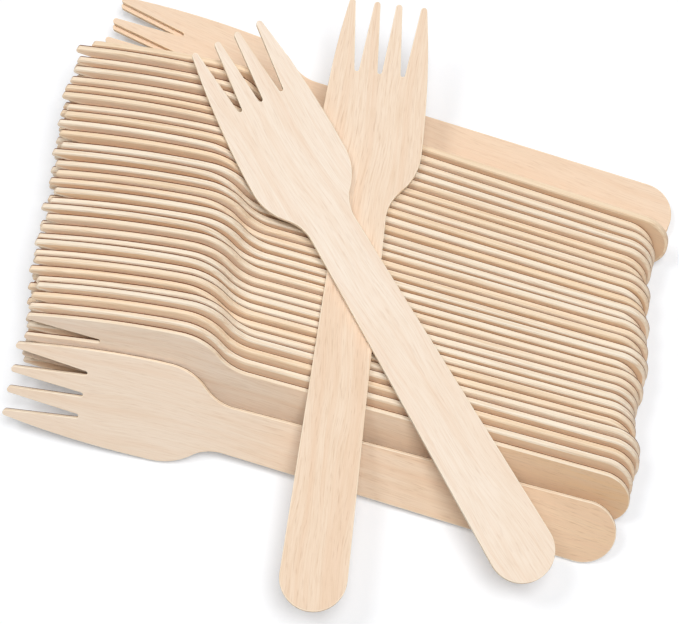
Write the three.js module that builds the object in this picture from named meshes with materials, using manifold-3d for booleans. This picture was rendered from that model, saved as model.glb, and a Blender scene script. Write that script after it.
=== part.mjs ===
// A loose pack of wooden forks: a row leaning on edge, two fallen flat behind it and two
// lying crossed on top. Millimetres and degrees, +Z up, forks along X with their tines at -X.
import * as THREE from "three";
import { mergeVertices } from "three/addons/utils/BufferGeometryUtils.js";
import Module from "manifold-3d";

// One fork: veneer cut to an outline, with its head pressed up at the shoulder.
// Stations are measured from the tine tips along the fork.
const forkLength = 160;
const forkThickness = 1.65;
const headWidth = 27.2;
const headStation = 39; // widest place of the head
const shoulderRun = 18; // from there to the narrowest place of the neck
const neckWidth = 12.9;
const neckFillet = 11;
const handleWidth = 17;
const slotDepth = 19;
const slotPitch = 6.1;
const slotRootRadius = 0.6;
const tipRadius = 0.85;
const outerTipOffset = 9.5; // fork's axis to the middle of an outer tine's tip
const innerTipOffset = 2.9;
const bendStation = 48; // where the handle's plane ends
const bendRun = 14;
const headRise = 8; // angle of the head above the handle's plane

// The leaning row, from front to back; leans are angles from the floor
const rowCount = 32;
const frontLean = 34; // the front fork has slumped and turned
const frontHeading = 1.7;
const frontSlip = -2.4; // along the fork
const rowLean = 63;
const rowSlump = 9.5; // how much less the second fork leans up
const slumpEasing = 0.65; // share of that which each next fork keeps
const leanScatter = 0.2;
const rowHeading = 0.5;
const fanStart = 10; // forks before the row starts to fan out
const rowFan = -0.15; // heading gained from each fork to the next after that
const headingScatter = 0.04;
const turnScatter = 0.35; // in the fork's own plane, lifting its head or its handle's end
const slipScatter = 1.4; // along the fork
const slipDrift = -0.3; // along the fork, from each fork to the next
const rearSlip = 3.7; // the last standing fork has slipped along the others
const rearLoose = 5; // last standing forks that stand looser than the rest
const rearGap = 0.15; // how much looser
const leanSeed = 1; // seeds pick which repeatable scatter is drawn
const headingSeed = 2;
const slipSeed = 940;
const gapSeed = 4;
const turnSeed = 1107;
const contactGap = 0.2; // between pieces that touch
const looseGap = 0.03; // most that a fork stands off beyond that

// Two forks fallen flat behind the row
const fallenHeading = -4.2;
const fallenSlip = -0.4; // along the forks, from the last standing one
const fallenStagger = 0.1; // how far the upper one lies behind where it would touch the row

// Two forks crossed on top: where their middles lie from the row's middle, and their headings
const underOffsetX = 0.5;
const underOffsetY = -1.3;
const underHeading = -82;
const overOffsetX = 5.2;
const overOffsetY = -2.4;
const overHeading = -44.8;

// Fineness of the facets
const facetDepth = 0.1; // most that a facet lies inside its arc
const bendFacets = 4;
const rimStep = 3; // spacing of the points that one fork rests on another by
const weldDistance = 1e-4;
const touchTolerance = 1e-6;
const settlingPasses = 3;

const headHalf = headWidth / 2;
const neckHalf = neckWidth / 2;
const endRadius = handleWidth / 2;
const quarterTurn = Math.PI / 2;
const radians = THREE.MathUtils.degToRad;
const wasm = await Module();
wasm.setup();

// Points on an arc, both ends included
function arc(x, y, radius, from, to) {
  const facetTurn = 2 * Math.acos(1 - facetDepth / radius);
  const steps = Math.ceil(Math.abs(to - from) / facetTurn);
  return Array.from({ length: steps + 1 }, (_, i) => {
    const angle = from + ((to - from) * i) / steps;
    return new THREE.Vector2(x + radius * Math.cos(angle), y + radius * Math.sin(angle));
  });
}

// One side of the fork's outline, from the handle's end round to the root of the middle slot
function sideOutline() {
  const drop = headHalf - neckHalf;
  const radiusSum = (shoulderRun ** 2 + drop ** 2) / (2 * drop);
  const shoulderRadius = radiusSum - neckFillet;
  const turn = Math.asin(shoulderRun / radiusSum);
  const flankDrop = headHalf - outerTipOffset - tipRadius;
  const flankRun = headStation - tipRadius;
  const flankRadius = (flankRun ** 2 + flankDrop ** 2) / (2 * flankDrop);
  const flankTurn = Math.asin(flankRun / flankRadius);
  const neckStation = headStation + shoulderRun;
  const rootStation = slotDepth - slotRootRadius;
  const shoulderMiddle = headHalf - shoulderRadius;
  const shoulder = arc(headStation, shoulderMiddle, shoulderRadius, quarterTurn - turn, quarterTurn);
  const flankMiddle = headHalf - flankRadius;
  const flank = arc(headStation, flankMiddle, flankRadius, quarterTurn, quarterTurn + flankTurn);
  return [
    ...arc(forkLength - endRadius, 0, endRadius, 0, quarterTurn),
    ...arc(neckStation, neckHalf + neckFillet, neckFillet, -quarterTurn, -quarterTurn - turn),
    ...shoulder.slice(1),
    ...flank.slice(1),
    ...arc(tipRadius, outerTipOffset, tipRadius, quarterTurn, 3 * quarterTurn).slice(1),
    ...arc(rootStation, slotPitch, slotRootRadius, quarterTurn, -quarterTurn),
    ...arc(tipRadius, innerTipOffset, tipRadius, quarterTurn, 3 * quarterTurn),
    ...arc(rootStation, 0, slotRootRadius, quarterTurn, 0),
  ];
}

function forkOutline() {
  const side = sideOutline();
  const mirrored = side.slice(1, -1).reverse().map((p) => new THREE.Vector2(p.x, -p.y));
  return [...side, ...mirrored];
}

// Height of the fork's underside above its handle's plane, where the bend's facets meet
function smoothRise(station) {
  const past = Math.max(0, bendStation - station);
  const bent = Math.min(past, bendRun);
  return Math.tan(radians(headRise)) * (bent ** 2 / (2 * bendRun) + past - bent);
}

const bendRibs = Array.from(
  { length: bendFacets + 1 },
  (_, i) => bendStation - (bendRun * i) / bendFacets,
);

// The same height anywhere, straight from rib to rib
function rise(station) {
  const i = bendRibs.findIndex((rib) => station >= rib);
  if (i <= 0) return smoothRise(station);
  const t = (bendRibs[i - 1] - station) / (bendRibs[i - 1] - bendRibs[i]);
  return THREE.MathUtils.lerp(smoothRise(bendRibs[i - 1]), smoothRise(bendRibs[i]), t);
}

function solidFrom(geometry) {
  geometry.deleteAttribute("normal");
  geometry.deleteAttribute("uv");
  const merged = mergeVertices(geometry, weldDistance);
  return new wasm.Manifold(
    new wasm.Mesh({
      numProp: 3,
      vertProperties: new Float32Array(merged.attributes.position.array),
      triVerts: new Uint32Array(merged.index.array),
    }),
  );
}

function geometryFrom(solid) {
  const mesh = solid.getMesh();
  const geometry = new THREE.BufferGeometry();
  geometry.setAttribute("position", new THREE.BufferAttribute(mesh.vertProperties, 3));
  geometry.setIndex(new THREE.BufferAttribute(mesh.triVerts, 1));
  return geometry;
}

// The bent sheet that a fork is cut from, as wide as the head and past both ends
function bentSheet() {
  const margin = headWidth;
  const stations = [forkLength + margin, ...bendRibs, -margin];
  const lower = stations.map((x) => new THREE.Vector2(x, smoothRise(x)));
  const upper = lower.map((p) => new THREE.Vector2(p.x, p.y + forkThickness)).reverse();
  const sheet = new THREE.ExtrudeGeometry(new THREE.Shape([...lower, ...upper]), {
    depth: headWidth + 2 * margin,
    bevelEnabled: false,
  });
  return sheet.rotateX(quarterTurn).translate(0, headHalf + margin, 0);
}

// The outline cut through the bent sheet
function forkSolid(outline) {
  const height = rise(0) + forkThickness;
  const cutter = new THREE.ExtrudeGeometry(new THREE.Shape(outline), {
    depth: 3 * height,
    bevelEnabled: false,
  });
  cutter.translate(0, 0, -height);
  return geometryFrom(solidFrom(cutter).intersect(solidFrom(bentSheet())));
}

const outline = forkOutline();
const forkGeometry = forkSolid(outline);
const wood = new THREE.MeshStandardMaterial({ color: 0xeccfae, roughness: 0.75, metalness: 0 });

function makeFork(name) {
  const fork = new THREE.Mesh(forkGeometry, wood);
  fork.name = name;
  return fork;
}

function corners(fork) {
  fork.updateMatrix();
  const position = forkGeometry.attributes.position;
  return Array.from({ length: position.count }, (_, i) =>
    new THREE.Vector3().fromBufferAttribute(position, i).applyMatrix4(fork.matrix),
  );
}

// Points along the rim of a fork's upper face, its long edges divided
function rimPoints(fork) {
  fork.updateMatrix();
  return outline.flatMap((p, i) => {
    const next = outline[(i + 1) % outline.length];
    const pieces = Math.ceil(p.distanceTo(next) / rimStep);
    return Array.from({ length: pieces }, (_, k) => {
      const q = p.clone().lerp(next, k / pieces);
      return new THREE.Vector3(q.x, q.y, rise(q.x) + forkThickness).applyMatrix4(fork.matrix);
    });
  });
}

// How far each point stands above a fork's underside, across the fork's thickness
function heightsOver(fork, points) {
  fork.updateMatrix();
  const toFork = fork.matrix.clone().invert();
  return points.map((p) => {
    const q = p.clone().applyMatrix4(toFork);
    return q.z - rise(q.x);
  });
}

// A repeatable scatter from -1 to 1, different for each fork and each seed
function scatter(index, seed) {
  const wave = Math.sin((index + 1) * 12.9898 + seed * 78.233) * 43758.5453;
  return 2 * (wave - Math.floor(wave)) - 1;
}

// Stands a fork on its edge, leaning back, with its head or its handle's end on the floor
function stand(fork, lean, heading, turn) {
  const restTurn = Math.atan((headHalf - endRadius) / (forkLength - endRadius - headStation));
  fork.rotation.set(radians(lean), 0, radians(heading), "ZXY");
  fork.rotateZ(radians(turn) - restTurn);
  fork.position.z = 0;
  fork.position.z = -Math.min(...corners(fork).map((c) => c.z));
}

// Slides a fork back along the floor until its clearance from a leaning face is a gap
function slideBack(fork, leaning, gap, clearance) {
  const facing = new THREE.Vector3(0, 0, 1).applyQuaternion(leaning.quaternion);
  for (let pass = 0; pass < settlingPasses; pass += 1) {
    fork.position.y += (clearance() - gap) / facing.y;
  }
}

// Slides a standing fork back until it clears the one in front
function slideBehind(fork, front, gap) {
  const clearance = () => Math.min(...heightsOver(fork, corners(front))) - forkThickness;
  slideBack(fork, fork, gap, clearance);
}

// Slides a lying fork back until it clears the back of a standing one
function slideUnder(fork, standing, gap) {
  const clearance = () => -Math.max(...heightsOver(standing, corners(fork)));
  slideBack(fork, standing, gap, clearance);
}

function makeRow() {
  const row = [];
  for (let i = 0; i < rowCount; i += 1) {
    const fork = makeFork(`row_fork_${String(i + 1).padStart(2, "0")}`);
    const lean = rowLean - rowSlump * slumpEasing ** (i - 1) + leanScatter * scatter(i, leanSeed);
    const fan = rowFan * Math.max(0, i - fanStart);
    const heading = rowHeading + fan + headingScatter * scatter(i, headingSeed);
    const turn = turnScatter * scatter(i, turnSeed);
    if (i === 0) stand(fork, frontLean, frontHeading, turn);
    else stand(fork, lean, heading, turn);
    fork.position.x = slipDrift * i + slipScatter * scatter(i, slipSeed);
    if (i === 0) fork.position.x += frontSlip;
    if (i === rowCount - 1) fork.position.x += rearSlip;
    const easing = i >= rowCount - rearLoose ? rearGap : 0;
    const gap = contactGap + easing + (looseGap * (1 + scatter(i, gapSeed))) / 2;
    if (i > 0) {
      fork.position.y = row[i - 1].position.y;
      slideBehind(fork, row[i - 1], gap);
    }
    row.push(fork);
  }
  return row;
}

function insideOutline(x, y) {
  let inside = false;
  outline.forEach((p, i) => {
    const q = outline[(i + 1) % outline.length];
    const crosses = p.y > y !== q.y > y;
    if (crosses && x < p.x + ((q.x - p.x) * (y - p.y)) / (q.y - p.y)) inside = !inside;
  });
  return inside;
}

// Middle of the fork's face, where its weight acts
function balancePoint() {
  const middle = new THREE.Vector2();
  let doubleArea = 0;
  outline.forEach((p, i) => {
    const q = outline[(i + 1) % outline.length];
    const wedge = p.cross(q);
    doubleArea += wedge;
    middle.addScaledVector(p, wedge / 3).addScaledVector(q, wedge / 3);
  });
  return middle.divideScalar(doubleArea);
}

// The plane that a plate comes to rest in on a set of points: their hull's facet over its middle
function restPlane(points, middle) {
  const far = 10 * forkLength;
  let facet = [0, 1, 2].map((k) => {
    const angle = (2 * Math.PI * k) / 3;
    const x = middle.x + far * Math.cos(angle);
    const y = middle.y + far * Math.sin(angle);
    return new THREE.Vector3(x, y, -far);
  });
  const flat = (p) => new THREE.Vector3(p.x, p.y, 0);
  const covers = (t) => new THREE.Triangle(...t.map(flat)).containsPoint(flat(middle));
  for (;;) {
    const plane = new THREE.Plane().setFromCoplanarPoints(...facet);
    if (plane.normal.z < 0) plane.negate();
    const heights = points.map((p) => plane.distanceToPoint(p));
    const highest = heights.indexOf(Math.max(...heights));
    if (heights[highest] < touchTolerance) return plane;
    facet = facet.map((_, k) => facet.with(k, points[highest])).find(covers);
  }
}

// Lays a fork on the points under it, with its balance point over a place in plan
function layOn(fork, place, heading, points, gap) {
  const balance = balancePoint();
  const offset = new THREE.Vector3(-balance.x, -balance.y, 0);
  fork.rotation.set(0, 0, radians(heading));
  fork.position.set(place.x, place.y, 0).add(offset.clone().applyQuaternion(fork.quaternion));
  fork.updateMatrix();
  const toFork = fork.matrix.clone().invert();
  const seats = points.flatMap((p) => {
    const q = p.clone().applyMatrix4(toFork);
    return insideOutline(q.x, q.y) ? [new THREE.Vector3(p.x, p.y, p.z - rise(q.x))] : [];
  });
  const plane = restPlane(seats, place);
  const up = plane.normal;
  const along = new THREE.Vector3(1, 0, 0).applyQuaternion(fork.quaternion);
  along.projectOnPlane(up).normalize();
  const across = up.clone().cross(along);
  fork.quaternion.setFromRotationMatrix(new THREE.Matrix4().makeBasis(along, across, up));
  const height = -(plane.constant + up.x * place.x + up.y * place.y) / up.z;
  fork.position.set(place.x, place.y, height).add(offset.applyQuaternion(fork.quaternion));
  fork.position.addScaledVector(up, gap);
}

// Two forks lying behind the row, one on the floor and one on the other
function makeFallen(lastStanding) {
  const lower = makeFork("fallen_fork_lower");
  const upper = makeFork("fallen_fork_upper");
  lower.rotation.z = radians(fallenHeading);
  lower.position.copy(lastStanding.position).setZ(0);
  lower.position.x += fallenSlip;
  slideUnder(lower, lastStanding, contactGap);
  upper.rotation.z = radians(fallenHeading);
  upper.position.copy(lower.position);
  upper.position.z = forkThickness + contactGap;
  slideUnder(upper, lastStanding, contactGap);
  upper.position.y += fallenStagger;
  return [lower, upper];
}

const row = makeRow();
const fallen = makeFallen(row.at(-1));
const rowMiddle = row[0].position.clone().lerp(row.at(-1).position, 0.5);
rowMiddle.x += forkLength / 2;
const placeFrom = (x, y) => new THREE.Vector2(rowMiddle.x + x, rowMiddle.y + y);
const under = makeFork("crossed_fork_under");
const over = makeFork("crossed_fork_over");
const rowRims = [...row, ...fallen].flatMap(rimPoints);
const underPlace = placeFrom(underOffsetX, underOffsetY);
const overPlace = placeFrom(overOffsetX, overOffsetY);
layOn(under, underPlace, underHeading, rowRims, contactGap);
layOn(over, overPlace, overHeading, [...rowRims, ...rimPoints(under)], contactGap);

// The pack's frame: the middle of its box's underside at the origin
const pieces = new THREE.Group();
pieces.add(...row, ...fallen, under, over);
const box = new THREE.Box3().setFromObject(pieces, true);
const centre = box.getCenter(new THREE.Vector3());
pieces.position.set(-centre.x, -centre.y, -box.min.z);
const forkPack = new THREE.Group();
forkPack.add(pieces);

export default forkPack;
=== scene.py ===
"""Dresses a loose pack of wooden forks, lights it on a white floor and sets the camera."""
import math

import bmesh
import bpy
import numpy as np
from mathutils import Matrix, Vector
from mathutils.geometry import tessellate_polygon


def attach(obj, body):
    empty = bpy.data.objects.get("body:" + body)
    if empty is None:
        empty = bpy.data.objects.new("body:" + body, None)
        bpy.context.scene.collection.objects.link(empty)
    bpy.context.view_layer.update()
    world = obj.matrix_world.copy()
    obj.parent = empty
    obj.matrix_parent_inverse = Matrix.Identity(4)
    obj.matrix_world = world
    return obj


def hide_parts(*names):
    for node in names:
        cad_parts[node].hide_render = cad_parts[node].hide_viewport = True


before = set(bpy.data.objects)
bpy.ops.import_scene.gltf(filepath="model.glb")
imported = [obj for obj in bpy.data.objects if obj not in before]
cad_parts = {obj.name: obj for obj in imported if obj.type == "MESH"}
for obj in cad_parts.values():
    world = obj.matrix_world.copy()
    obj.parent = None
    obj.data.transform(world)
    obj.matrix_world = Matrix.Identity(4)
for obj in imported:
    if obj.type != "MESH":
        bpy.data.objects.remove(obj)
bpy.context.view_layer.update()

MM = 0.001

# One fork, in millimetres: stations run from the tine tips along the fork
FORK_LENGTH = 160
FORK_THICKNESS = 1.65
HEAD_HALF = 13.6
HEAD_STATION = 39
SHOULDER_RUN = 18
NECK_HALF = 6.45
NECK_FILLET = 11
END_RADIUS = 8.5
SLOT_DEPTH = 19
SLOT_PITCH = 6.1
SLOT_ROOT_RADIUS = 0.6
TIP_RADIUS = 0.85
OUTER_TIP_OFFSET = 9.5
INNER_TIP_OFFSET = 2.9
BEND_STATION = 48
BEND_RUN = 14
HEAD_RISE = math.radians(8)

# Tumbled edges: how round they are above and below, and how far their pale tone runs on to the
# upper face; crisp on the forks whose faces show, worn in three ways along the row
CRISP_EDGES = (0.16, 0.3, 0.0)
ROW_EDGES = ((0.14, 0.12, 0.52), (0.2, 0.14, 0.4), (0.17, 0.13, 0.46))
EDGE_FADE = 0.05  # over which a tone on the edge runs out
EDGE_STEPS = 3
FACET_DEPTH = 0.012  # how far a facet may lie inside its arc
BEND_CUTS = 12
QUARTER = math.pi / 2

# Painted shade: a dark line along the lower edges of the row's forks, standing for the shadow in the
# gaps between them
PAINTED_SHADE_WIDTH = 0.12
WIDER_PAINTED_SHADE = 0.14  # how much wider it is on the head and at the handle's end
HEAD_END = (38, 57)  # stations between which it narrows from the head to the handle
HANDLE_END = (152, 157)  # stations between which it widens again

# How tan the heads and handles of the forks whose faces show are, from pale at -1 through tan at 1
# to deep at 2, how peach their cut edges are, from -1 to 1, and how strong the grain of their
# heads and handles is
LOOKS = {
    "crossed_fork_over": (-0.6, -0.3, -0.4, 0.8, 0.8),
    "crossed_fork_under": (0.2, 0.5, 0.0, 1.4, 1.4),
    # The front fork's handle is deeper tan with stronger grain: partly its own wood, partly painted
    # shade of the crossed forks lying over it
    "row_fork_01": (-0.1, 1.4, -0.2, 0.7, 2.0),
    "row_fork_02": (-0.1, 1.8, -0.2, 1.0, 1.6),
    "fallen_fork_upper": (0.6, 0.6, 1.0, 0.9, 0.9),
    "fallen_fork_lower": (0.6, 0.6, 1.0, 0.9, 0.9),
}
REAR_FORK = "row_fork_32"  # has no dark line, because no fork stands behind it
# The row's faces are deep tan: their spread is their own tone, their depth partly painted shade for
# the dark gaps between the forks
ROW_TINT_AND_SHADE = 1.4
ROW_TINT_SPREAD = 0.5
ROW_HEAD_PALER = 0.25
TINT_CHANGE = (45, 75)  # stations between which the head's tint gives way to the handle's
GRAIN_LEAN = math.radians(3)  # the most that the grain leans from the fork's length
GRAIN_STEP = np.array([370.0, 113.0, 59.0])  # from each fork's grain to the next one's

# What the repeatable scatter is drawn for, and the steps that make it uneven
TINT_USE = 1
LEAN_USE = 2
PEACH_USE = 3
SCATTER_STEPS = (12.9898, 78.233)
SCATTER_REACH = 43758.5453

# The camera: where it looks, in metres, and from where
TARGET = Vector((0.0002, -0.0016, 0.008))
AZIMUTH = math.radians(15.3)
ELEVATION = math.radians(75)
DISTANCE = 0.505
FOCAL_PIXELS = 1930
IMAGE_WIDTH = 679
SENSOR_WIDTH = 36
CLIP_START = 0.01


def arc(x, y, radius, start, end, inset):
    """Points on an arc of a radius less an inset, as many as the whole radius needs."""
    facet_turn = 2 * math.acos(1 - FACET_DEPTH / radius)
    steps = math.ceil(abs(end - start) / facet_turn)
    angles = np.linspace(start, end, steps + 1)
    reach = radius - inset
    return [(x + reach * math.cos(a), y + reach * math.sin(a)) for a in angles]


def hollow(x, y, radius, start, end, inset):
    """Points on an arc that the fork lies outside of, so that an inset widens it."""
    return arc(x, y, radius, start, end, -inset)


def side_outline(inset):
    """One side of the outline, from the handle's end round to the middle slot's root."""
    drop = HEAD_HALF - NECK_HALF
    radius_sum = (SHOULDER_RUN**2 + drop**2) / (2 * drop)
    shoulder_radius = radius_sum - NECK_FILLET
    turn = math.asin(SHOULDER_RUN / radius_sum)
    flank_drop = HEAD_HALF - OUTER_TIP_OFFSET - TIP_RADIUS
    flank_run = HEAD_STATION - TIP_RADIUS
    flank_radius = (flank_run**2 + flank_drop**2) / (2 * flank_drop)
    flank_turn = math.asin(flank_run / flank_radius)
    neck = HEAD_STATION + SHOULDER_RUN
    root = SLOT_DEPTH - SLOT_ROOT_RADIUS
    shoulder_middle = HEAD_HALF - shoulder_radius
    flank_middle = HEAD_HALF - flank_radius
    return [
        *arc(FORK_LENGTH - END_RADIUS, 0, END_RADIUS, 0, QUARTER, inset),
        *hollow(neck, NECK_HALF + NECK_FILLET, NECK_FILLET, -QUARTER, -QUARTER - turn, inset),
        *arc(HEAD_STATION, shoulder_middle, shoulder_radius, QUARTER - turn, QUARTER, inset)[1:],
        *arc(HEAD_STATION, flank_middle, flank_radius, QUARTER, QUARTER + flank_turn, inset)[1:],
        *arc(TIP_RADIUS, OUTER_TIP_OFFSET, TIP_RADIUS, QUARTER, 3 * QUARTER, inset)[1:],
        *hollow(root, SLOT_PITCH, SLOT_ROOT_RADIUS, QUARTER, -QUARTER, inset),
        *arc(TIP_RADIUS, INNER_TIP_OFFSET, TIP_RADIUS, QUARTER, 3 * QUARTER, inset),
        *hollow(root, 0, SLOT_ROOT_RADIUS, QUARTER, 0, inset),
    ]


def outline(inset):
    side = side_outline(inset)
    mirrored = [(x, -y) for x, y in side[-2:0:-1]]
    return side + mirrored


def rounding(radius):
    """Pairs of inset and depth round one rounded edge, from the face to the rim."""
    turns = np.linspace(0, QUARTER, EDGE_STEPS + 1)
    return [(radius * (1 - math.sin(t)), radius * (1 - math.cos(t))) for t in turns]


def edge_profile(edges):
    """Rings round the rim from the upper face to the lower.

    Each ring has its inset, its height, how much higher it is at the fork's ends, and whether
    it is rim and carries the painted shade line.
    """
    upper_radius, lower_radius, worn = edges
    worn_inset = upper_radius + worn
    painted_shade_top = lower_radius + PAINTED_SHADE_WIDTH
    return [
        (worn_inset + 2 * EDGE_FADE, FORK_THICKNESS, 0, 0, 0),
        (worn_inset + EDGE_FADE, FORK_THICKNESS, 0, 1, 0),
        *((inset, FORK_THICKNESS - depth, 0, 1, 0) for inset, depth in rounding(upper_radius)),
        (0, painted_shade_top + EDGE_FADE, WIDER_PAINTED_SHADE, 1, 0),
        (0, painted_shade_top, WIDER_PAINTED_SHADE, 1, 1),
        *((inset, depth, 0, 1, 1) for inset, depth in reversed(rounding(lower_radius))),
        (lower_radius + EDGE_FADE, 0, 0, 0, 0),
    ]


def rise(station):
    """Height of the underside above the handle's plane."""
    past = max(0, BEND_STATION - station)
    bent = min(past, BEND_RUN)
    return math.tan(HEAD_RISE) * (bent**2 / (2 * BEND_RUN) + past - bent)


def add_ring(bm, inset, height, end_lift, rim, shade_painted):
    """One ring of points round the outline, marked with its share of rim and painted shade."""
    rim_layer = bm.verts.layers.float["rim"]
    gap_shade_layer = bm.verts.layers.float["gap_shade"]
    ring = []
    for x, y in outline(inset):
        end_share = 1 - smooth_step(x, *HEAD_END) + smooth_step(x, *HANDLE_END)
        ring.append(bm.verts.new((x, y, height + end_lift * end_share)))
    for v in ring:
        v[rim_layer] = rim
        v[gap_shade_layer] = shade_painted
    return ring


def flat_fork(edges):
    """The fork's mesh before its head is bent: rings round the edge, closed by two faces."""
    bm = bmesh.new()
    bm.verts.layers.float.new("rim")
    bm.verts.layers.float.new("gap_shade")
    rings = [add_ring(bm, *step) for step in edge_profile(edges)]
    count = len(rings[0])
    for upper, lower in zip(rings, rings[1:]):
        for i in range(count):
            j = (i + 1) % count
            bm.faces.new((upper[i], lower[i], lower[j], upper[j]))
    for ring in (rings[0], rings[-1]):
        for corners in tessellate_polygon([[v.co for v in ring]]):
            bm.faces.new([ring[i] for i in corners])
    return bm


def fork_mesh(edges):
    """A dressed fork in its own frame, in millimetres, its rim and painted shade line marked on it.
    """
    bm = flat_fork(edges)
    for station in np.linspace(BEND_STATION - BEND_RUN, BEND_STATION, BEND_CUTS + 1):
        everything = bm.verts[:] + bm.edges[:] + bm.faces[:]
        bmesh.ops.bisect_plane(bm, geom=everything, plane_co=(station, 0, 0), plane_no=(1, 0, 0))
    for v in bm.verts:
        v.co.z += rise(v.co.x)
    bmesh.ops.recalc_face_normals(bm, faces=bm.faces[:])
    for face in bm.faces:
        face.smooth = True
    mesh = bpy.data.meshes.new("fork")
    bm.to_mesh(mesh)
    bm.free()
    return mesh


def node_points(node):
    """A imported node's corners, each once."""
    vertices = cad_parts[node].data.vertices
    points = np.empty(len(vertices) * 3)
    vertices.foreach_get("co", points)
    weld = 1e-6
    return np.unique(np.round(points.reshape(-1, 3) / weld), axis=0) * weld


def principal_frame(points):
    """The middle of some points and their own axes, the longest first, as columns.

    The first and the third axis point to the side on which the points reach further.
    """
    middle = points.mean(axis=0)
    centred = points - middle
    axes = np.linalg.svd(centred, full_matrices=False)[2]
    for k in (0, 2):
        if np.sum((centred @ axes[k]) ** 3) < 0:
            axes[k] = -axes[k]
    axes[1] = np.cross(axes[2], axes[0])
    return middle, axes.T


def lying_frame(points):
    """The frame of a fork that lies flat on the floor: where its tips' line is, and its axes."""
    plan = points[:, :2]
    middle = plan.mean(axis=0)
    along = np.linalg.svd(plan - middle, full_matrices=False)[2][0]
    across = np.array([-along[1], along[0]])
    reach = (plan - middle) @ along
    spread = np.abs((plan - middle) @ across)
    if reach[np.argmax(spread)] > 0:
        along, across, reach = -along, -across, -reach
    tips = middle + along * (reach.max() - FORK_LENGTH * MM)
    axes = np.eye(3)
    axes[:2, 0] = along
    axes[:2, 1] = across
    return np.append(tips, 0), axes


def best_turn(points, targets):
    """The turn and shift that bring some points closest to their targets."""
    middle = points.mean(axis=0)
    target_middle = targets.mean(axis=0)
    u, _, vt = np.linalg.svd((points - middle).T @ (targets - target_middle))
    turn = (u @ vt).T
    return turn, target_middle - turn @ middle


def placements(nodes):
    """For each node, the turn and shift that bring the fork from its own frame to its place."""
    reference = node_points("fallen_fork_lower")
    tips, axes = lying_frame(reference)
    own = (reference - tips) @ axes
    own_middle, own_axes = principal_frame(own)
    places = {}
    for node in nodes:
        points = node_points(node)
        middle, node_axes = principal_frame(points)
        turn = node_axes @ own_axes.T
        guess = own @ turn.T + (middle - turn @ own_middle)
        gaps = np.linalg.norm(guess[:, None] - points[None], axis=2)
        places[node] = best_turn(own, points[gaps.argmin(axis=1)])
    return places


def scatter(index, use):
    """A repeatable value from -1 to 1 for each fork and each use."""
    index_step, use_step = SCATTER_STEPS
    wave = math.sin((index + 1) * index_step + use * use_step) * SCATTER_REACH
    return 2 * (wave - math.floor(wave)) - 1


def write_attribute(mesh, name, values):
    made = mesh.attributes.new(name, "FLOAT_VECTOR", "POINT")
    made.data.foreach_set("vector", np.ascontiguousarray(values, dtype=np.float32).ravel())


def read_points(mesh, key):
    """A value of three numbers at each of a mesh's points."""
    values = np.empty(len(mesh.vertices) * 3)
    mesh.vertices.foreach_get(key, values)
    return values.reshape(-1, 3)


def read_mark(mesh, name):
    """A single number at each of a mesh's points."""
    values = np.empty(len(mesh.vertices))
    mesh.attributes[name].data.foreach_get("value", values)
    return values


def smooth_step(values, low, high):
    share = np.clip((values - low) / (high - low), 0, 1)
    return share**2 * (3 - 2 * share)


def mark_cuts(mesh, node, own):
    """Writes where a fork's mesh is rim, end grain and painted shade."""
    rim = read_mark(mesh, "rim")
    cut = np.zeros_like(own)
    cut[:, 0] = rim
    cut[:, 1] = rim * read_points(mesh, "normal")[:, 0] ** 2
    # The row's lower edges get a dark line of painted shade, standing for the shadow in the gaps
    if node.startswith("row_") and node != REAR_FORK:
        cut[:, 2] = read_mark(mesh, "gap_shade")
    write_attribute(mesh, "cut", cut)


def mark_mood(mesh, node, index, own):
    """Writes a fork's tint, on the row partly painted shade, how peach its rim is and how strong its
    grain is.
    """
    row_tint_and_shade = ROW_TINT_AND_SHADE + ROW_TINT_SPREAD * scatter(index, TINT_USE)
    row_peach = scatter(index, PEACH_USE)
    row_look = (row_tint_and_shade - ROW_HEAD_PALER, row_tint_and_shade, row_peach, 1.0, 1.0)
    head_tint, handle_tint, peach, head_grain, handle_grain = LOOKS.get(node, row_look)
    handle_share = smooth_step(own[:, 0], *TINT_CHANGE)
    mood = np.zeros_like(own)
    mood[:, 0] = head_tint + (handle_tint - head_tint) * handle_share
    mood[:, 1] = peach
    mood[:, 2] = head_grain + (handle_grain - head_grain) * handle_share
    write_attribute(mesh, "mood", mood)


def mark_grain(mesh, index, own):
    """Writes where each point lies in the wood, flat as the veneer was before it was pressed."""
    lean = GRAIN_LEAN * scatter(index, LEAN_USE)
    grain = own.copy()
    grain[:, 0] = own[:, 0] * math.cos(lean) - own[:, 1] * math.sin(lean)
    grain[:, 1] = own[:, 0] * math.sin(lean) + own[:, 1] * math.cos(lean)
    grain[:, 2] -= [rise(station) for station in own[:, 0]]
    grain += GRAIN_STEP * (index + 1)
    write_attribute(mesh, "grain", grain)


def dress(node, index, pattern, place, material):
    """A dressed fork in a node's place, with its wood and its cut edges written to its mesh."""
    mesh = pattern.copy()
    mesh.name = node
    own = read_points(mesh, "co")
    mark_cuts(mesh, node, own)
    mark_mood(mesh, node, index, own)
    mark_grain(mesh, index, own)

    turn, shift = place
    placed = own * MM @ turn.T + shift
    mesh.vertices.foreach_set("co", placed.ravel())
    mesh.update()
    mesh.materials.append(material)
    piece = bpy.data.objects.new(f"{node}_dressed", mesh)
    bpy.context.scene.collection.objects.link(piece)
    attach(piece, "root")
    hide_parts(node)


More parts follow.
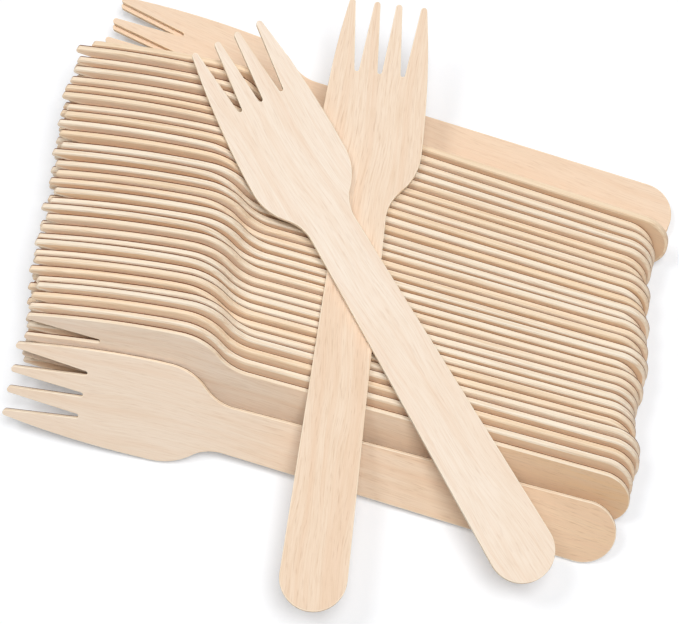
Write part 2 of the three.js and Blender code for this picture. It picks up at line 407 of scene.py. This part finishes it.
class Graph:
    """Short calls for building the nodes of a material or a world."""

    def __init__(self, owner):
        owner.use_nodes = True
        self.owner = owner
        self.tree = owner.node_tree
        self.tree.nodes.clear()

    def node(self, kind, **settings):
        made = self.tree.nodes.new(kind)
        for key, value in settings.items():
            setattr(made, key, value)
        return made

    def plug(self, socket, value):
        if isinstance(value, bpy.types.NodeSocket):
            self.tree.links.new(value, socket)
        else:
            socket.default_value = value

    def attribute(self, name):
        return self.node("ShaderNodeAttribute", attribute_name=name).outputs["Vector"]

    def math(self, operation, a, b):
        made = self.node("ShaderNodeMath", operation=operation)
        self.plug(made.inputs[0], a)
        self.plug(made.inputs[1], b)
        return made.outputs[0]

    def scaled(self, vector, scale):
        made = self.node("ShaderNodeVectorMath", operation="MULTIPLY")
        self.plug(made.inputs[0], vector)
        self.plug(made.inputs[1], scale)
        return made.outputs[0]

    def sideways(self, vector, shift):
        """A vector with its second number shifted."""
        aside = self.node("ShaderNodeCombineXYZ")
        self.plug(aside.inputs[1], shift)
        made = self.node("ShaderNodeVectorMath", operation="ADD")
        self.plug(made.inputs[0], vector)
        self.plug(made.inputs[1], aside.outputs[0])
        return made.outputs[0]

    def parts(self, vector):
        made = self.node("ShaderNodeSeparateXYZ")
        self.plug(made.inputs[0], vector)
        return made.outputs

    def noise(self, vector, detail, roughness=0.5, distortion=0.0):
        made = self.node("ShaderNodeTexNoise")
        self.plug(made.inputs["Vector"], vector)
        self.plug(made.inputs["Scale"], 1.0)
        self.plug(made.inputs["Detail"], detail)
        self.plug(made.inputs["Roughness"], roughness)
        self.plug(made.inputs["Distortion"], distortion)
        return made.outputs["Fac"]

    def ranged(self, value, low, high, to_low=0.0, to_high=1.0):
        made = self.node("ShaderNodeMapRange")
        for socket, item in zip(made.inputs, (value, low, high, to_low, to_high)):
            self.plug(socket, item)
        return made.outputs[0]

    def cover(self, value, start, full, share):
        """Nothing up to where a value starts to show, rising to a share where it shows most."""
        return self.ranged(value, start, full, 0.0, share)

    def mix(self, factor, a, b):
        """A mix of two colours, whose sockets follow those for numbers and vectors."""
        made = self.node("ShaderNodeMix", data_type="RGBA")
        first_colour, second_colour = made.inputs[6:8]
        self.plug(made.inputs[0], factor)
        self.plug(first_colour, a)
        self.plug(second_colour, b)
        return made.outputs[2]

    def looked_at(self):
        """1 where the camera, a gloss or a clear thing sees the surface, 0 where it lights others."""
        path = self.node("ShaderNodeLightPath").outputs
        direct = self.math("MAXIMUM", path["Is Camera Ray"], path["Is Glossy Ray"])
        return self.math("MAXIMUM", direct, path["Is Transmission Ray"])

    def choose(self, factor, a, b):
        made = self.node("ShaderNodeMixShader")
        self.plug(made.inputs[0], factor)
        self.plug(made.inputs[1], a)
        self.plug(made.inputs[2], b)
        return made.outputs[0]


def linear(red, green, blue):
    """An sRGB colour of 0 to 255 as a linear one with alpha."""
    def channel(value):
        share = value / 255
        if share <= 0.04045:
            return share / 12.92
        return ((share + 0.055) / 1.055) ** 2.4
    return (channel(red), channel(green), channel(blue), 1.0)


# Colours of the wood's faces, of its cut edges and of its end grain
PALE = linear(248, 236, 222)
TAN = linear(238, 210, 181)
DEEP = linear(231, 188, 138)
BAND = linear(232, 196, 164)
FIBRE = linear(226, 196, 165)
STREAK = linear(180, 136, 98)
RIM_PALE = linear(254, 243, 224)
RIM_PEACH = linear(251, 227, 196)
RIM_LINE = linear(220, 182, 140)
# Painted shade, the colour of the shadow in the gaps between the row's forks
PAINTED_SHADE = linear(104, 52, 16)
END_GRAIN = linear(212, 176, 140)
END_PORE = linear(150, 108, 74)

# Noise in the wood: waves a millimetre along, across and through the fork
WANDER_WAVES = (0.022, 0.07, 0.07)
CLOUD_WAVES = (0.03, 0.06, 0.06)
BAND_WAVES = (0.014, 0.42, 0.42)
FIBRE_WAVES = (0.11, 2.9, 2.9)
STREAK_WAVES = (0.3, 4.0, 4.0)
RIM_WAVES = (0.025, 0.5, 1.9)
END_WAVES = (0.8, 3.0, 1.0)

# Where each noise starts to show, where it shows most, and its share of the colour there
CLOUD_COVER = (0.35, 0.75, 0.3)
BAND_COVER = (0.45, 0.75, 0.4)
FIBRE_COVER = (0.42, 0.75, 0.5)
STREAK_COVER = (0.58, 0.78, 0.2)
RIM_LINE_COVER = (0.46, 0.72, 0.6)
END_PORE_COVER = (0.45, 0.7, 1.0)
RIM_SHARE = 0.9
END_SHARE = 0.6

WANDER_RANGE = (0.2, 0.8)
WANDER_REACH = 2.2  # millimetres that the grain strays to either side
FIBRE_RANGE = (0.3, 0.7)
ROUGHNESS = (0.58, 0.72)
SPECULAR = 0.3
STREAK_DEPTH = 0.6  # beside a fibre's height of 1
BUMP_STRENGTH = 0.2
BUMP_DISTANCE = 0.00012


def straying_grain(g):
    """Where a point lies in the wood, with the grain straying gently to either side."""
    grain = g.attribute("grain")
    wander = g.noise(g.scaled(grain, WANDER_WAVES), detail=1.0)
    return g.sideways(grain, g.ranged(wander, *WANDER_RANGE, -WANDER_REACH, WANDER_REACH))


def face_colour(g, grain, fibres, streaks):
    """The colour of a fork's faces: tinted wood under clouds, bands, fibres and streaks."""
    tint, _, strength = g.parts(g.attribute("mood"))
    colour = g.mix(g.ranged(tint, -1.0, 1.0), PALE, TAN)
    colour = g.mix(g.ranged(tint, 1.0, 2.0), colour, DEEP)
    clouds = g.noise(g.scaled(grain, CLOUD_WAVES), detail=2.0)
    colour = g.mix(g.cover(clouds, *CLOUD_COVER), colour, TAN)
    bands = g.noise(g.scaled(grain, BAND_WAVES), detail=2.0, distortion=0.3)
    layers = (
        (bands, BAND_COVER, BAND),
        (fibres, FIBRE_COVER, FIBRE),
        (streaks, STREAK_COVER, STREAK),
    )
    for noise, cover, paint in layers:
        share = g.math("MULTIPLY", g.cover(noise, *cover), strength)
        colour = g.mix(share, colour, paint)
    return colour


def rim_colour(g, grain):
    """The colour of the cut edges: pale to peach, with fine lines along them."""
    tone = g.parts(g.attribute("mood"))[1]
    colour = g.mix(g.ranged(tone, -1.0, 1.0), RIM_PALE, RIM_PEACH)
    lines = g.noise(g.scaled(grain, RIM_WAVES), detail=3.0, roughness=0.7)
    return g.mix(g.cover(lines, *RIM_LINE_COVER), colour, RIM_LINE)


def end_colour(g, grain):
    """The colour of end grain, with its open pores."""
    pores = g.noise(g.scaled(grain, END_WAVES), detail=2.0, roughness=0.6)
    return g.mix(g.cover(pores, *END_PORE_COVER), END_GRAIN, END_PORE)


def wood_relief(g, fibres, streaks):
    """A faint relief of raised fibres and sunk streaks."""
    bump = g.node("ShaderNodeBump")
    g.plug(bump.inputs["Strength"], BUMP_STRENGTH)
    g.plug(bump.inputs["Distance"], BUMP_DISTANCE)
    g.plug(bump.inputs["Height"], g.math("ADD", fibres, g.math("MULTIPLY", streaks, -STREAK_DEPTH)))
    return bump.outputs[0]


def wood():
    """Birch veneer: soft bands and fine fibres along the fork, dark streaks, paler cut edges, painted
    shade on the row's lower edges.
    """
    g = Graph(bpy.data.materials.new("birch"))
    grain = straying_grain(g)
    rim, end, shade_painted = g.parts(g.attribute("cut"))
    fibres = g.noise(g.scaled(grain, FIBRE_WAVES), detail=3.0, roughness=0.6)
    streaks = g.noise(g.scaled(grain, STREAK_WAVES), detail=1.0, roughness=0.4)

    colour = face_colour(g, grain, fibres, streaks)
    colour = g.mix(g.math("MULTIPLY", rim, RIM_SHARE), colour, rim_colour(g, grain))
    # Painted shade along the row forks' lower edges, for the shadow in the gaps between them
    colour = g.mix(shade_painted, colour, PAINTED_SHADE)
    colour = g.mix(g.math("MULTIPLY", end, END_SHARE), colour, end_colour(g, grain))

    shader = g.node("ShaderNodeBsdfPrincipled")
    g.plug(shader.inputs["Base Color"], colour)
    g.plug(shader.inputs["Roughness"], g.ranged(fibres, *FIBRE_RANGE, *ROUGHNESS))
    g.plug(shader.inputs["Specular IOR Level"], SPECULAR)
    g.plug(shader.inputs["Normal"], wood_relief(g, fibres, streaks))
    output = g.node("ShaderNodeOutputMaterial")
    g.plug(output.inputs["Surface"], shader.outputs[0])
    return g.owner


FLOOR_COLOUR = linear(232, 234, 237)
FLOOR_LIFT = 0.2
WHITE_FROM = 0.25  # metres from the middle, where the floor's fade to plain white begins
WHITE_AT = 0.8  # metres from the middle, where it ends


def floor_material():
    """Matt white that keeps the shadow, lifted to white where the camera or a gloss sees it."""
    g = Graph(bpy.data.materials.new("floor_white"))
    matt = g.node("ShaderNodeBsdfDiffuse")
    g.plug(matt.inputs["Color"], FLOOR_COLOUR)
    away = g.node("ShaderNodeVectorMath", operation="LENGTH")
    g.plug(away.inputs[0], g.node("ShaderNodeNewGeometry").outputs["Position"])
    lift = g.node("ShaderNodeEmission")
    lift_strength = g.ranged(away.outputs["Value"], WHITE_FROM, WHITE_AT, FLOOR_LIFT, 1.0)
    g.plug(lift.inputs["Strength"], lift_strength)
    both = g.node("ShaderNodeAddShader")
    g.plug(both.inputs[0], matt.outputs[0])
    g.plug(both.inputs[1], lift.outputs[0])
    output = g.node("ShaderNodeOutputMaterial")
    g.plug(output.inputs["Surface"], g.choose(g.looked_at(), matt.outputs[0], both.outputs[0]))
    return g.owner


FLOOR_HALF = 3.0
FLOOR_DROP = 0.00005  # keeps the floor clear of the forks' undersides


def add_floor():
    mesh = bpy.data.meshes.new("floor")
    signs = ((-1, -1), (1, -1), (1, 1), (-1, 1))
    corners = [(x * FLOOR_HALF, y * FLOOR_HALF, -FLOOR_DROP) for x, y in signs]
    mesh.from_pydata(corners, [], [(0, 1, 2, 3)])
    mesh.materials.append(floor_material())
    floor = bpy.data.objects.new("floor", mesh)
    bpy.context.scene.collection.objects.link(floor)


WORLD_STRENGTH = 0.24
WHITE = linear(255, 255, 255)


def add_world():
    """An even light from all round, seen as white."""
    g = Graph(bpy.data.worlds.new("studio"))
    light = g.node("ShaderNodeBackground")
    g.plug(light.inputs["Strength"], WORLD_STRENGTH)
    backdrop = g.node("ShaderNodeBackground")
    g.plug(backdrop.inputs["Strength"], 1.0)
    for source in (light, backdrop):
        g.plug(source.inputs["Color"], WHITE)
    output = g.node("ShaderNodeOutputWorld")
    g.plug(output.inputs["Surface"], g.choose(g.looked_at(), light.outputs[0], backdrop.outputs[0]))
    bpy.context.scene.world = g.owner


def add_lamp(name, place, size, power):
    lamp = bpy.data.lights.new(name, "AREA")
    lamp.shape = "DISK"
    lamp.size = size
    lamp.energy = power
    made = bpy.data.objects.new(name, lamp)
    made.location = place
    made.rotation_euler = (TARGET - Vector(place)).to_track_quat("-Z", "Y").to_euler()
    bpy.context.scene.collection.objects.link(made)


def add_camera():
    lens = bpy.data.cameras.new("camera")
    lens.sensor_fit = "HORIZONTAL"
    lens.sensor_width = SENSOR_WIDTH
    lens.lens = FOCAL_PIXELS * SENSOR_WIDTH / IMAGE_WIDTH
    lens.clip_start = CLIP_START
    back = Vector((
        math.sin(AZIMUTH) * math.cos(ELEVATION),
        -math.cos(AZIMUTH) * math.cos(ELEVATION),
        math.sin(ELEVATION),
    ))
    camera = bpy.data.objects.new("camera", lens)
    camera.location = TARGET + back * DISTANCE
    camera.rotation_euler = back.to_track_quat("Z", "Y").to_euler()
    bpy.context.scene.collection.objects.link(camera)
    bpy.context.scene.camera = camera


def dress_forks():
    """Dresses every packed fork: crisp where its face shows, worn in turn along the row."""
    birch = wood()
    crisp = fork_mesh(CRISP_EDGES)
    worn = [fork_mesh(edges) for edges in ROW_EDGES]
    places = placements(sorted(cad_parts))
    for index, (node, place) in enumerate(places.items()):
        pattern = crisp if node in LOOKS else worn[index % len(worn)]
        dress(node, index, pattern, place, birch)


dress_forks()
add_floor()
add_world()
add_lamp("softbox", place=(0.18, -0.03, 1.3), size=0.6, power=10.7)
add_lamp("side_light", place=(-0.5, 0.1, 1.15), size=0.35, power=3.3)
add_camera()
bpy.context.scene.view_settings.view_transform = "Standard"
